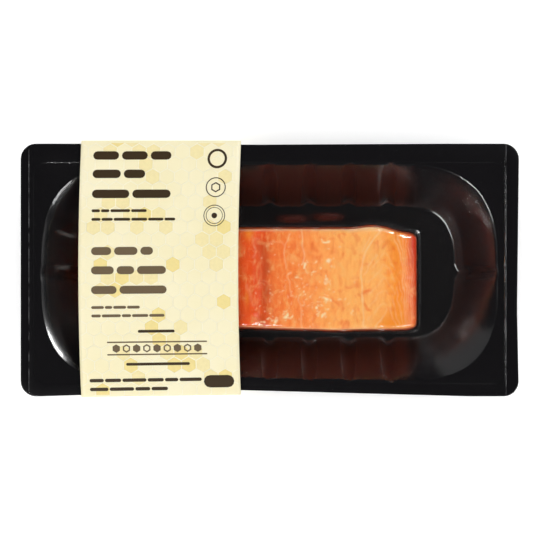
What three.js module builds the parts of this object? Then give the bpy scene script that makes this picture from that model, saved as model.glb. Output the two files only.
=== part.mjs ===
// A skin-packed portion of smoked salmon, in millimetres, +Z up.
// A black thermoformed tray holds a cross-cut fillet portion. A clear film clings to the
// fillet and the tray, and a printed card sleeve is wrapped round the tray's left half.
// The origin is on the ground under the middle of the pack, with the length along X.
import * as THREE from 'three';

// Driving dimensions
const TRAY_LENGTH = 250;
const TRAY_WIDTH = 126.8;
const TRAY_CORNER = 7.8;
const PLASTIC = 0.7;
const CARD = 0.4;
const FILM = 0.25;
const GAP = 0.3;

// Cavity of the tray: two ovals, one at the rim and one round the flat floor
const RIM = { straight: 60.1, end: 54.8, half: 54.9, flute: 0.6, shift: -1.6 };
const FLOOR = { straight: 64, end: 30.2, half: 33.2, flute: 2.5, shift: -1.1 };
const OVAL_POWER = 3;
const WALL_ANGLE = THREE.MathUtils.degToRad(44.15);
const FLOOR_RADIUS = 2;
const RIM_RADIUS = 0.8;
const FLUTE_PITCH = 20.2;
const FLUTE_HALF_WIDTH = 4.6;
const SIDE_FLUTES = 3;

// Flange: a shallow step runs round the cavity, and the edge turns down in a lip
const STEP = { halfLength: 119, halfWidth: 55.9, corner: 7, height: 0.4, slope: 0.3 };
const LIP_HEIGHT = 1.6;
const LIP_ROUND = 0.3;

// The snug sleeve draws the flange and the rim in, and the right end is bowed a little
const RIM_DRAW = { at: -15, depth: 2.1, left: 85, right: 115 };
const FRONT_DRAW = { at: -15, depth: 3, left: 100, right: 115 };
const BACK_DRAW = { at: -5, depth: 0.5, left: 90, right: 90 };
const END_DRAW = { at: -20, depth: 0.9, left: 45, right: 78 };
const DRAW_DROP = 0.4;

// Film: trimmed straight across both ends of the flange, and a tent round the fillet's foot
const FILM_LEFT = -120.9;
const FILM_RIGHT = 118.6;
const FILM_TRIM = 0.4;
const FILM_SHOULDER = { spread: 0.4, lift: -0.15 };
const FILM_WAIST = { spread: 0.5, share: 0.5 };
const FILM_FOOT = 1.6;

// Sleeve: a closed band of card, with bowed cut edges and a front fold that runs askew
const SLEEVE_LEFT = -94.3;
const SLEEVE_RIGHT = -14.4;
const SLEEVE_BOW = 1.4;
const SLEEVE_BACK = 64.9;
const SLEEVE_FRONT_LEFT = -63.7;
const SLEEVE_FRONT_RIGHT = -62.5;
const SLEEVE_EDGE_DROP = 3.2;
const SLEEVE_CROWN = 1.1;
const SLEEVE_BOTTOM_BACK = 39.6;
const SLEEVE_BOTTOM_FRONT = -42.6;
const SLEEVE_TOP_STEPS = 12;

// Fillet portion: thin belly on the left, thick loin in the middle, falling to the fish's back
const FILLET_LEFT = -70.2;
const FILLET_RIGHT = 74.1;
const FILLET_BACK = 20.7;
const FILLET_FRONT = -29.8;
const BELLY = { thickness: 10, from: -82.2 };
const LOIN = { thickness: 22.2, from: 12, to: 50 };
const BACK_FALL = { depth: 4, power: 2.2 };
const BELLY_STEP = { at: -4, depth: 1.3, width: 5 };
const SEPTUM = { at: 44, depth: 0.4, halfWidth: 3.5, middle: -12, curve: 0.02 };
const MUSCLE = { height: 0.3, pitch: 20.3, bend: 0.9, across: 52.4 };
const BACK_EDGE = { bulge: 1.1, at: 51, halfWidth: 12, cut: 2, cutFrom: 56, cutTo: 70 };
const FRONT_EDGE = { bulge: 0.4, at: 34, halfWidth: 14, cut: 0.9, cutFrom: -20, cutTo: 25 };
const EDGE_ROUND = 2.4;
const FOOT_SPREAD = 1.1;
const CORNER_POWER = 22;

// Points along and across the fillet's top. The film has as many on each side of its rings.
const FILLET_COLUMNS = 32;
const FILLET_ROWS = 12;

// Heights that follow from the sizes above
const wallRun = RIM.half - FLOOR.half;
const bothRadii = FLOOR_RADIUS + RIM_RADIUS;
const cavityDepth = (wallRun - bothRadii * Math.sin(WALL_ANGLE)) * Math.tan(WALL_ANGLE)
  + bothRadii * (1 - Math.cos(WALL_ANGLE));
const floorTop = CARD + GAP + PLASTIC;
const flangeTop = floorTop + cavityDepth;
const borderTop = flangeTop + STEP.height;
const filletBase = floorTop + GAP;
const filletMiddle = new THREE.Vector3(
  (FILLET_LEFT + FILLET_RIGHT) / 2,
  (FILLET_BACK + FILLET_FRONT) / 2,
  filletBase,
);
const filletHalf = new THREE.Vector2(FILLET_RIGHT - FILLET_LEFT, FILLET_BACK - FILLET_FRONT)
  .divideScalar(2);
const mitre = Math.tan(WALL_ANGLE / 2);

// Small helpers
const { clamp, lerp, smoothstep } = THREE.MathUtils;

// A smooth bump, 1 in the middle and 0 from halfWidth on
function bell(distance, halfWidth) {
  return Math.abs(distance) < halfWidth ? 0.5 + 0.5 * Math.cos(Math.PI * distance / halfWidth) : 0;
}

// A straight-sided peak of a given depth
function tent(position, { at, depth, left, right }) {
  const away = position < at ? (at - position) / left : (position - at) / right;
  return depth * Math.max(0, 1 - away);
}

function range(first, last, steps) {
  return Array.from({ length: steps + 1 }, (_, i) => lerp(first, last, i / steps));
}

function bothWays(positive) {
  return [...positive.map((s) => -s).reverse(), 0, ...positive];
}

// Stations run from -2 to 2 along a side of a ring. Up to 1 they are places fixed along the
// tray, which the flutes need, and from 1 to 2 they close up towards the ring's corner.
const SIDE_FIXED = 66;
const END_FIXED = 6;

function placed(station, fixed, corner) {
  const size = Math.abs(station);
  return Math.sign(station) * (size <= 1 ? size * fixed : lerp(fixed, corner, size - 1));
}

function towardsCorner(steps) {
  return range(0, 1, steps).slice(1).map((f) => 2 - (1 - f) ** 2);
}

function trayStations() {
  const flute = range(-FLUTE_HALF_WIDTH, FLUTE_HALF_WIDTH, 4);
  const middleFlute = flute.slice(3);
  const centres = range(1, SIDE_FLUTES, SIDE_FLUTES - 1).map((k) => k * FLUTE_PITCH);
  const side = [...middleFlute, ...centres.flatMap((c) => flute.map((f) => c + f))];
  const end = [...middleFlute, END_FIXED];
  return {
    side: bothWays([...side.map((x) => x / SIDE_FIXED), ...towardsCorner(7)]),
    end: bothWays([...end.map((y) => y / END_FIXED), ...towardsCorner(6)]),
  };
}

function filmStations() {
  const straight = range(0, 1, 5).slice(1);
  return {
    side: bothWays([...straight, ...towardsCorner(FILLET_COLUMNS / 2 - straight.length)]),
    end: bothWays([1, ...towardsCorner(FILLET_ROWS / 2 - 1)]),
  };
}

const TRAY_STATIONS = trayStations();
const FILM_STATIONS = filmStations();

// A ring of points, counter-clockwise seen from above, from the front left corner.
// An outline's corner is where its sides and ends meet. Its side(x, sign) gives the y of the
// back (+1) or front (-1), and its end(y, sign) the x of the right (+1) or left (-1).
function ring(outline, stations, height) {
  const { corner, shift = 0, side, end } = outline;
  const sidePoint = (station, sign) => {
    const x = placed(station, SIDE_FIXED, corner.x);
    return new THREE.Vector3(x, shift + side(x, sign), height(x, sign));
  };
  const endPoint = (station, sign) => {
    const y = placed(station, END_FIXED, corner.y);
    return new THREE.Vector3(end(y, sign), shift + y, height(end(y, sign), 0));
  };
  const betweenCorners = stations.end.slice(1, -1);
  return [
    ...stations.side.map((s) => sidePoint(s, -1)),
    ...betweenCorners.map((s) => endPoint(s, 1)),
    ...stations.side.map((s) => sidePoint(s, 1)).reverse(),
    ...betweenCorners.map((s) => endPoint(s, -1)).reverse(),
  ];
}

// Depth of the half-round flutes that bulge out of the long walls
function sideFlute(x) {
  const nearest = clamp(Math.round(x / FLUTE_PITCH), -SIDE_FLUTES, SIDE_FLUTES) * FLUTE_PITCH;
  return bell(x - nearest, FLUTE_HALF_WIDTH);
}

// The cavity's oval at a share of the wall's run, 0 at the floor and 1 at the rim, grown outwards
function cavityOutline(share, grow, fluted) {
  const straight = lerp(FLOOR.straight, RIM.straight, share);
  const endDepth = lerp(FLOOR.end, RIM.end, share) + grow;
  const half = lerp(FLOOR.half, RIM.half, share) + grow;
  const flute = fluted ? lerp(FLOOR.flute, RIM.flute, share) : 0;
  const drawn = (x, sign) => (sign < 0 ? share * tent(x, RIM_DRAW) : 0);
  const oval = (part) => Math.max(0, 1 - clamp(part, 0, 1) ** OVAL_POWER) ** (1 / OVAL_POWER);
  const cornerShare = 0.5 ** (1 / OVAL_POWER);
  return {
    shift: lerp(FLOOR.shift, RIM.shift, share),
    corner: { x: straight + endDepth * cornerShare, y: half * cornerShare },
    side: (x, sign) => drawn(x, sign) + sign * (flute * sideFlute(x)
      + half * oval((Math.abs(x) - straight) / endDepth)),
    end: (y, sign) => sign * (straight + endDepth * oval(Math.abs(y) / half)
      + flute * bell(y, FLUTE_HALF_WIDTH)),
  };
}

// A rounded rectangle
function roundedOutline(halfLength, halfWidth, radius, shift = 0) {
  const arc = (past) => radius - Math.sqrt(Math.max(0, radius ** 2 - Math.max(0, past) ** 2));
  const cornerCut = radius * (1 - Math.SQRT1_2);
  return {
    shift,
    corner: { x: halfLength - cornerCut, y: halfWidth - cornerCut },
    side: (x, sign) => sign * (halfWidth - arc(Math.abs(x) - halfLength + radius)),
    end: (y, sign) => sign * (halfLength - arc(Math.abs(y) - halfWidth + radius)),
  };
}

// The shallow step's outline, moved inwards
function stepOutline(inset) {
  const { halfLength, halfWidth, corner } = STEP;
  const plain = roundedOutline(halfLength - inset, halfWidth - inset, corner, RIM.shift);
  return {
    ...plain,
    side: (x, sign) => plain.side(x, sign) + (sign < 0 ? tent(x, RIM_DRAW) : 0),
  };
}

// The flange's outer edge, moved inwards, and its height where the sleeve pulls it down
function flangeOutline(inset) {
  const half = { length: TRAY_LENGTH / 2 - inset, width: TRAY_WIDTH / 2 - inset };
  const plain = roundedOutline(half.length, half.width, TRAY_CORNER - inset);
  return {
    corner: plain.corner,
    side: (x, sign) => plain.side(x, sign) + tent(x, sign < 0 ? FRONT_DRAW : BACK_DRAW) * -sign,
    end: (y, sign) => plain.end(y, sign) - (sign > 0 ? tent(y, END_DRAW) : 0),
  };
}

function pulledDown(z) {
  return (x, sign) => z - (sign < 0 ? DRAW_DROP * tent(x, FRONT_DRAW) : 0);
}

// The film's outer edge: the flange's own edge, cut straight across both ends
function filmOutline() {
  const flange = flangeOutline(FILM_TRIM);
  return {
    corner: { x: FILM_RIGHT, y: flange.corner.y },
    side: flange.side,
    end: (y, sign) => (sign > 0 ? FILM_RIGHT : FILM_LEFT),
  };
}

// The wall's profile from the floor to the rim: share of the run, and height above the floor
function wallProfile() {
  const floorArc = range(0, WALL_ANGLE, 3).map((a) => ({
    run: FLOOR_RADIUS * Math.sin(a),
    rise: FLOOR_RADIUS * (1 - Math.cos(a)),
  }));
  const rimArc = range(WALL_ANGLE, 0, 2).map((a) => ({
    run: wallRun - RIM_RADIUS * Math.sin(a),
    rise: cavityDepth - RIM_RADIUS * (1 - Math.cos(a)),
  }));
  return [...floorArc, ...rimArc].map(({ run, rise }) => ({ share: run / wallRun, rise }));
}

// The wall's rings, moved off the tray's upper face by a distance, up or down
function wallRings(stations, offset, fluted) {
  return wallProfile().map(({ share, rise }) => ring(
    cavityOutline(share, -offset * mitre, fluted),
    stations,
    () => floorTop + rise + offset,
  ));
}

// The rings of the shallow step in the flange, from the cavity outwards
function stepRings(stations, offset) {
  return [
    ring(stepOutline(STEP.slope + offset), stations, () => flangeTop + offset),
    ring(stepOutline(offset), stations, () => borderTop + offset),
  ];
}

function geometryFrom(corners) {
  const geometry = new THREE.BufferGeometry().setFromPoints(corners);
  geometry.computeVertexNormals();
  return geometry;
}

// Triangles between two rings of as many points
function band(near, far) {
  return near.flatMap((p, i) => {
    const next = (i + 1) % near.length;
    return [p, far[i], far[next], p, far[next], near[next]];
  });
}

function fan(middle, border) {
  return border.flatMap((p, i) => [middle, p, border[(i + 1) % border.length]]);
}

function sheet(grid) {
  return grid.slice(1).flatMap((row, j) => row.slice(1).flatMap((p, i) => (
    [grid[j][i], grid[j][i + 1], p, grid[j][i], p, row[i]]
  )));
}

function turnedOver(corners) {
  return corners.map((_, i) => corners[i - (i % 3) + 2 - (i % 3)]);
}

// A closed surface: its upper cap, the rings out over its edge and back, and its lower cap
function closedSurface(upper, rings, lower) {
  const bands = rings.slice(1).flatMap((far, k) => band(rings[k], far));
  return geometryFrom([...upper, ...bands, ...turnedOver(lower)]);
}

// The tray: floor, fluted wall, stepped flange and lip, with the same plastic below
function trayGeometry() {
  const flangeUnder = flangeTop - PLASTIC;
  const lip = [
    [LIP_ROUND, borderTop],
    [0, borderTop - LIP_ROUND],
    [0, borderTop - LIP_HEIGHT],
    [PLASTIC, borderTop - LIP_HEIGHT],
    [PLASTIC + LIP_ROUND, flangeUnder],
  ];
  const rings = [
    ...wallRings(TRAY_STATIONS, 0, true),
    ...stepRings(TRAY_STATIONS, 0),
    ...lip.map(([inset, z]) => ring(flangeOutline(inset), TRAY_STATIONS, pulledDown(z))),
    ring(stepOutline(0), TRAY_STATIONS, () => flangeUnder),
    ...wallRings(TRAY_STATIONS, -PLASTIC, true).reverse(),
  ];
  const upper = new THREE.Vector3(0, FLOOR.shift, floorTop);
  const lower = new THREE.Vector3(0, FLOOR.shift, floorTop - PLASTIC);
  return closedSurface(fan(upper, rings[0]), rings, fan(lower, rings[rings.length - 1]));
}

// The fillet's long edges, worked out along the tray
function backEdge(x) {
  const { bulge, at, halfWidth, cut, cutFrom, cutTo } = BACK_EDGE;
  return FILLET_BACK - cut * smoothstep(x, cutFrom, cutTo) + bulge * bell(x - at, halfWidth);
}

function frontEdge(x) {
  const { bulge, at, halfWidth, cut, cutFrom, cutTo } = FRONT_EDGE;
  return FILLET_FRONT + cut * (1 - smoothstep(x, cutFrom, cutTo)) - bulge * bell(x - at, halfWidth);
}

function filletThickness(x, y) {
  const { at, depth, width } = BELLY_STEP;
  const rise = smoothstep(x, BELLY.from, LOIN.from);
  const pastLoin = Math.max(0, (x - LOIN.to) / (FILLET_RIGHT - LOIN.to));
  const step = depth * (1 - smoothstep(x, at - width, at));
  const septumLine = SEPTUM.at + SEPTUM.curve * (y - SEPTUM.middle) ** 2;
  const septum = SEPTUM.depth * bell(x - septumLine, SEPTUM.halfWidth);
  const bend = MUSCLE.bend * Math.cos(2 * Math.PI * y / MUSCLE.across);
  const muscle = MUSCLE.height * Math.sin(2 * Math.PI * x / MUSCLE.pitch + bend);
  return lerp(BELLY.thickness, LOIN.thickness, rise)
    - BACK_FALL.depth * pastLoin ** BACK_FALL.power - step - septum + muscle;
}

// A point of the fillet's top for u and v from -1 to 1, on a rectangle with rounded corners
function filletPoint(u, v) {
  const reach = Math.max(Math.abs(u), Math.abs(v));
  const sum = Math.abs(u) ** CORNER_POWER + Math.abs(v) ** CORNER_POWER;
  const round = reach > 0 ? reach / sum ** (1 / CORNER_POWER) : 1;
  const x = lerp(FILLET_LEFT, FILLET_RIGHT, (u * round + 1) / 2);
  const y = lerp(frontEdge(x), backEdge(x), (v * round + 1) / 2);
  const inside = Math.min(
    (1 - Math.abs(u)) * filletHalf.x,
    (1 - Math.abs(v)) * filletHalf.y,
    EDGE_ROUND,
  );
  const rounded = EDGE_ROUND - Math.sqrt(EDGE_ROUND ** 2 - (EDGE_ROUND - inside) ** 2);
  return new THREE.Vector3(x, y, filletBase + filletThickness(x, y) - rounded);
}

// Rows and columns close up towards the edges, where the top is rounded
function closingUp(steps) {
  return range(-1, 1, steps).map((f) => Math.sin(f * Math.PI / 2));
}

const filletTop = closingUp(FILLET_ROWS).map((v) => (
  closingUp(FILLET_COLUMNS).map((u) => filletPoint(u, v))
));

// A grid's border, in the order of a ring's points
function borderOf(grid) {
  const between = grid.slice(1, -1);
  return [
    ...grid[0],
    ...between.map((row) => row[row.length - 1]),
    ...[...grid[grid.length - 1]].reverse(),
    ...between.map((row) => row[0]).reverse(),
  ];
}

// The fillet's border moved outwards, at a share of its height above a base
function filletRing({ spread, share, base = filletBase, lift = 0 }) {
  return borderOf(filletTop).map((p) => new THREE.Vector3(
    p.x + spread * (p.x - filletMiddle.x) / filletHalf.x,
    p.y + spread * (p.y - filletMiddle.y) / filletHalf.y,
    lerp(base, p.z, share) + lift,
  ));
}

function filletGeometry() {
  const rings = [
    borderOf(filletTop),
    filletRing({ spread: 0.7 * FOOT_SPREAD, share: 0.6 }),
    filletRing({ spread: FOOT_SPREAD, share: 0.15 }),
    filletRing({ spread: 0.5 * FOOT_SPREAD, share: 0 }),
  ];
  return closedSurface(sheet(filletTop), rings, fan(filletMiddle, rings[rings.length - 1]));
}

// One face of the film, at a distance above the fillet and the tray, as a cap and its rings
function filmFace(offset) {
  const cap = filletTop.map((row) => row.map((p) => p.clone().setZ(p.z + offset)));
  const clear = FOOT_SPREAD + offset;
  const edge = ring(filmOutline(), FILM_STATIONS, pulledDown(borderTop + offset));
  edge.forEach((p) => p.setX(clamp(p.x, FILM_LEFT, FILM_RIGHT)));
  const rings = [
    borderOf(cap),
    filletRing({ spread: FILM_SHOULDER.spread + offset, share: 1, lift: FILM_SHOULDER.lift + offset }),
    filletRing({ spread: FILM_WAIST.spread + clear, share: FILM_WAIST.share }),
    filletRing({ spread: FILM_FOOT + clear, share: 0, base: floorTop + offset }),
    ...wallRings(FILM_STATIONS, offset, false),
    ...stepRings(FILM_STATIONS, offset),
    edge,
  ];
  return { cap, rings };
}

function filmGeometry() {
  const upper = filmFace(GAP + FILM);
  const lower = filmFace(GAP);
  const rings = [...upper.rings, ...lower.rings.reverse()];
  return closedSurface(sheet(upper.cap), rings, sheet(lower.cap));
}

// A loop of the sleeve's card, seen along X: crowned top, short edges, sloping sides, flat base
function sleeveLoop(front, inset) {
  const top = borderTop + 2 * GAP + FILM + CARD - inset;
  const [near, far] = [front + inset, SLEEVE_BACK - inset];
  const middle = (near + far) / 2;
  const half = (far - near) / 2;
  const crown = (y) => SLEEVE_CROWN * (1 - ((y - middle) / half) ** 2);
  return [
    ...range(far, near, SLEEVE_TOP_STEPS).map((y) => ({ y, z: top + crown(y) })),
    { y: near, z: top - SLEEVE_EDGE_DROP },
    { y: SLEEVE_BOTTOM_FRONT + inset, z: inset },
    { y: SLEEVE_BOTTOM_BACK - inset, z: inset },
    { y: far, z: top - SLEEVE_EDGE_DROP },
  ];
}

// A cut edge of the sleeve, which leans towards the left in the middle of each panel
function sleeveEdge(x, front, inset) {
  return sleeveLoop(front, inset).map(({ y, z }) => (
    new THREE.Vector3(x - SLEEVE_BOW * (1 - (y / SLEEVE_BACK) ** 2), y, z)
  ));
}

function sleeveGeometry() {
  const loops = [
    sleeveEdge(SLEEVE_RIGHT, SLEEVE_FRONT_RIGHT, 0),
    sleeveEdge(SLEEVE_LEFT, SLEEVE_FRONT_LEFT, 0),
    sleeveEdge(SLEEVE_LEFT, SLEEVE_FRONT_LEFT, CARD),
    sleeveEdge(SLEEVE_RIGHT, SLEEVE_FRONT_RIGHT, CARD),
  ];
  return geometryFrom(loops.flatMap((loop, k) => band(loop, loops[(k + 1) % loops.length])));
}

// Materials, from the finishes that show
const blackPlastic = new THREE.MeshStandardMaterial({ color: 0x121214, roughness: 0.16 });
const smokedFlesh = new THREE.MeshStandardMaterial({ color: 0xf0904e, roughness: 0.42 });
const clearFilm = new THREE.MeshStandardMaterial({
  color: 0xf4f6f8,
  roughness: 0.08,
  transparent: true,
  opacity: 0.15,
});
const printedCard = new THREE.MeshStandardMaterial({ color: 0xfcf0c4, roughness: 0.6 });

function named(name, geometry, material) {
  const mesh = new THREE.Mesh(geometry, material);
  mesh.name = name;
  return mesh;
}

const pack = new THREE.Group();
pack.add(
  named('tray', trayGeometry(), blackPlastic),
  named('fillet', filletGeometry(), smokedFlesh),
  named('film', filmGeometry(), clearFilm),
  named('sleeve', sleeveGeometry(), printedCard),
);

export default pack;
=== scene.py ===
# %% [markdown]
# # A pack of smoked salmon
# A skin pack is a portion of fish on a stiff black tray. A clear film is warmed, sucked down
# over the fish and welded to the tray, and a band of printed card is slid over the whole.
# The imported model is loaded first, and its parts are hidden where pieces made below stand in for them.
# Every piece stands where that model says, in the same frame, and some sizes are read from its boxes.

# %% Load the imported model
import math

import bpy
import numpy as np
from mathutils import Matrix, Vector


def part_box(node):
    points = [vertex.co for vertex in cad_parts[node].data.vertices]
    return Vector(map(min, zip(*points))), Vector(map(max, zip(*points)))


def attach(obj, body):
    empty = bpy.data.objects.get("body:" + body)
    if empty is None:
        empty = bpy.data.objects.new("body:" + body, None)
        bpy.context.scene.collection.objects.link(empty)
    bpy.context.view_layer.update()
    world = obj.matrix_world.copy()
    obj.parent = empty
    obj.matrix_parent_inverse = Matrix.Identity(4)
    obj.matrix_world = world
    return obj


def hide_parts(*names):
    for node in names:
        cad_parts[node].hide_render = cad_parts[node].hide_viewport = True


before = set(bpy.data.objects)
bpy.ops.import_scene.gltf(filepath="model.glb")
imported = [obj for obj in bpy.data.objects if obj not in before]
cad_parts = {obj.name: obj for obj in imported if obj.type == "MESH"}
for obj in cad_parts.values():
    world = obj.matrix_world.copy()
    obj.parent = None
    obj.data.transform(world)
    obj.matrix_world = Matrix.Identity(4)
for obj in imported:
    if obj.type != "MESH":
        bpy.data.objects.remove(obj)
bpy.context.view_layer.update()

MM = 0.001

# %% [markdown]
# ## Small helpers
# One helper turns a colour picked on screen into the linear values that a renderer computes
# with. One adds a node, with its settings and its links, to any node tree, so shaders and
# geometry trees are written the same way, and the few after it shorten the nodes used most.
# The last ones turn arrays of points and faces into objects, which is quicker than modelling
# by hand when a shape follows a rule.

# %% Colours, nodes and meshes
def linear(hex_colour):
    """An sRGB hex colour as linear RGBA."""
    channels = [int(hex_colour[i:i + 2], 16) / 255 for i in (1, 3, 5)]
    return (*[c / 12.92 if c <= 0.04045 else ((c + 0.055) / 1.055) ** 2.4 for c in channels], 1)


def add(tree, kind, inputs=None, **settings):
    """Adds a node. Its inputs are plain values or the sockets that feed them."""
    node = tree.nodes.new(kind)
    for name, value in settings.items():
        setattr(node, name, value)
    for key, value in (inputs or {}).items():
        if isinstance(value, bpy.types.NodeSocket):
            tree.links.new(value, node.inputs[key])
        else:
            node.inputs[key].default_value = value
    return node


def new_material(name):
    """An empty material, its node tree and the place of each point on its own piece."""
    material = bpy.data.materials.new(name)
    material.use_nodes = True
    tree = material.node_tree
    tree.nodes.clear()
    return material, tree, add(tree, "ShaderNodeTexCoord").outputs["Object"]


def finish_material(material, surface):
    add(material.node_tree, "ShaderNodeOutputMaterial", {"Surface": surface})
    return material


def noise(tree, place, size, detail, distortion=0.0):
    """Noise with bumps of a size in millimetres."""
    inputs = {"Vector": place, "Scale": 1 / (size * MM), "Detail": detail, "Distortion": distortion}
    return add(tree, "ShaderNodeTexNoise", inputs).outputs["Fac"]


def remap(tree, value, low, high, to_low, to_high):
    inputs = {"Value": value, "From Min": low, "From Max": high, "To Min": to_low, "To Max": to_high}
    return add(tree, "ShaderNodeMapRange", inputs).outputs["Result"]


def bump(tree, height, strength, distance, **more):
    """A normal bent by a height, with its distance in millimetres."""
    inputs = {"Height": height, "Strength": strength, "Distance": distance * MM, **more}
    return add(tree, "ShaderNodeBump", inputs).outputs["Normal"]


def maths(tree, operation, *values):
    return add(tree, "ShaderNodeMath", dict(enumerate(values)), operation=operation).outputs[0]


def attribute(tree, name):
    return add(tree, "ShaderNodeAttribute", attribute_name=name).outputs["Fac"]


def mixed_colour(tree, factor, low, high):
    return add(tree, "ShaderNodeMix", {0: factor, 6: low, 7: high}, data_type="RGBA").outputs[2]


def mixed_surface(tree, factor, low, high):
    return add(tree, "ShaderNodeMixShader", {0: factor, 1: low, 2: high}).outputs["Shader"]


def principled(tree, colour, roughness, inputs=None):
    inputs = {"Base Color": colour, "Roughness": roughness, **(inputs or {})}
    return add(tree, "ShaderNodeBsdfPrincipled", inputs).outputs["BSDF"]


def make_piece(name, points, faces, *materials, attributes=None, smooth=True):
    """A mesh object from points in millimetres and faces of point numbers."""
    mesh = bpy.data.meshes.new(name)
    mesh.from_pydata((np.asarray(points) * MM).tolist(), [], [list(f) for f in faces])
    for material in materials:
        mesh.materials.append(material)
    for key, values in (attributes or {}).items():
        mesh.attributes.new(key, "FLOAT", "POINT").data.foreach_set("value", np.float32(values))
    if smooth:
        mesh.shade_smooth()
    piece = bpy.data.objects.new(name, mesh)
    bpy.context.scene.collection.objects.link(piece)
    print(f"{name}: {len(mesh.vertices)} points, {len(mesh.polygons)} faces")
    return piece


def finish_piece(piece, slot, *nodes):
    """Hands a finished piece to the frame: its body and what it stands for. The slot is not used."""
    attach(piece, "root")
    if nodes:
        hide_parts(*nodes)


# %% [markdown]
# ## Sizes
# All sizes are in millimetres. The tray's width and heights and the sleeve's top are read from the imported
# model. The rest are the shape's own driving dimensions: the cavity is an oval at the rim that shrinks to a
# smaller oval round the floor, with half-round flutes that stiffen its walls.

# %% Driving dimensions
tray_low, tray_high = (np.array(corner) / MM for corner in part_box("tray"))
sleeve_low, sleeve_high = (np.array(corner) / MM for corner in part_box("sleeve"))
TRAY_HALF_LENGTH = 125.0
TRAY_HALF_WIDTH = (tray_high[1] - tray_low[1]) / 2
TRAY_CORNER = 7.8
PLASTIC = 0.7
CARD = 0.4
RIM = {"straight": 60.1, "end": 54.8, "half": 54.9, "flute": 0.6, "shift": -1.6}
FLOOR = {"straight": 64.0, "end": 30.2, "half": 33.2, "flute": 2.5, "shift": -1.1}
OVAL_POWER = 3
FLUTE_PITCH = 20.2
FLUTE_HALF_WIDTH = 4.6
SIDE_FLUTES = 3
STEP = {"half_length": 119.0, "half_width": 55.9, "corner": 7.0, "height": 0.15, "slope": 0.5}
LIP_HEIGHT = 1.6
LIP_ROUND = 0.5
RIM_DRAW = {"at": -15, "depth": 2.1, "left": 85, "right": 115}
FRONT_DRAW = {"at": -15, "depth": 3.0, "left": 100, "right": 115}
BACK_DRAW = {"at": -5, "depth": 0.5, "left": 90, "right": 90}
END_DRAW = {"at": -20, "depth": 0.9, "left": 45, "right": 78}
DRAW_DROP = 0.4

WALL_RUN = RIM["half"] - FLOOR["half"]
FLOOR_TOP = tray_low[2] + PLASTIC
BORDER_TOP = tray_high[2]
FLANGE_TOP = BORDER_TOP - STEP["height"]
CAVITY_DEPTH = FLANGE_TOP - FLOOR_TOP
print(f"the cavity is {CAVITY_DEPTH:.2f} mm deep and its wall runs {WALL_RUN:.1f} mm outwards")

# %% [markdown]
# ## Rings
# A formed tray is easiest to describe as rings, one inside the other, each a closed outline at
# its own height. Every ring has the same number of points, so neighbouring rings join into
# strips of quads. The points are packed closely where the flutes and corners need them.

# %% Small curves and the ring builder
def smooth_step(x, low, high):
    t = np.clip((x - low) / (high - low), 0, 1)
    return t * t * (3 - 2 * t)


def bell(distance, half_width):
    """1 in the middle, falling smoothly to 0."""
    return np.where(np.abs(distance) < half_width, 0.5 + 0.5 * np.cos(np.pi * distance / half_width), 0)


def tent(position, at, depth, left, right):
    away = np.where(position < at, (at - position) / left, (position - at) / right)
    return depth * np.maximum(0, 1 - away)


def value_noise(x, y, size, seed):
    """Smooth seeded noise from -1 to 1, with bumps of about the given size."""
    lattice = np.random.default_rng(seed).uniform(-1, 1, (64, 64))
    column, row = np.floor(x / size).astype(int), np.floor(y / size).astype(int)
    tx, ty = x / size - column, y / size - row
    tx, ty = tx * tx * (3 - 2 * tx), ty * ty * (3 - 2 * ty)
    low = lattice[column % 64, row % 64] * (1 - tx) + lattice[(column + 1) % 64, row % 64] * tx
    high = lattice[column % 64, (row + 1) % 64] * (1 - tx) + lattice[(column + 1) % 64, (row + 1) % 64] * tx
    return low * (1 - ty) + high * ty


SIDE_FIXED = 66.0
END_FIXED = 6.0


def half_stations(straight_steps, corner_steps):
    """Numbers from -2 to 2: to 1 fixed places along the tray, then closing up to the corner."""
    straight = np.linspace(0, 1, straight_steps + 1)[1:]
    corner = 2 - (1 - np.linspace(0, 1, corner_steps + 1)[1:]) ** 2
    half = np.concatenate([straight, corner])
    return np.concatenate([-half[::-1], [0], half])


def placed(stations, fixed, corner):
    size = np.abs(stations)
    return np.sign(stations) * np.where(size <= 1, size * fixed, fixed + (corner - fixed) * (size - 1))


def ring(outline, height, stations):
    """A closed outline's points, counter-clockwise seen from above, from the front left corner."""
    side_stations, end_stations = stations
    x = placed(side_stations, SIDE_FIXED, outline["corner"][0])
    y = placed(end_stations[1:-1], END_FIXED, outline["corner"][1])
    shift = outline["shift"]
    front = np.stack([x, shift + outline["side"](x, -1)], 1)
    back = np.stack([x, shift + outline["side"](x, 1)], 1)[::-1]
    right = np.stack([outline["end"](y, 1), shift + y], 1)
    left = np.stack([outline["end"](y, -1), shift + y], 1)[::-1]
    flat = np.concatenate([front, right, back, left])
    z = height(flat[:, 0], flat[:, 1]) if callable(height) else np.full(len(flat), float(height))
    return np.column_stack([flat, z])


def side_flute(x):
    nearest = np.clip(np.round(x / FLUTE_PITCH), -SIDE_FLUTES, SIDE_FLUTES) * FLUTE_PITCH
    return bell(x - nearest, FLUTE_HALF_WIDTH)


def rim_drawn(x, sign):
    """How far the sleeve's grip draws the front rim inwards."""
    return tent(x, **RIM_DRAW) if sign < 0 else 0


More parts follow.
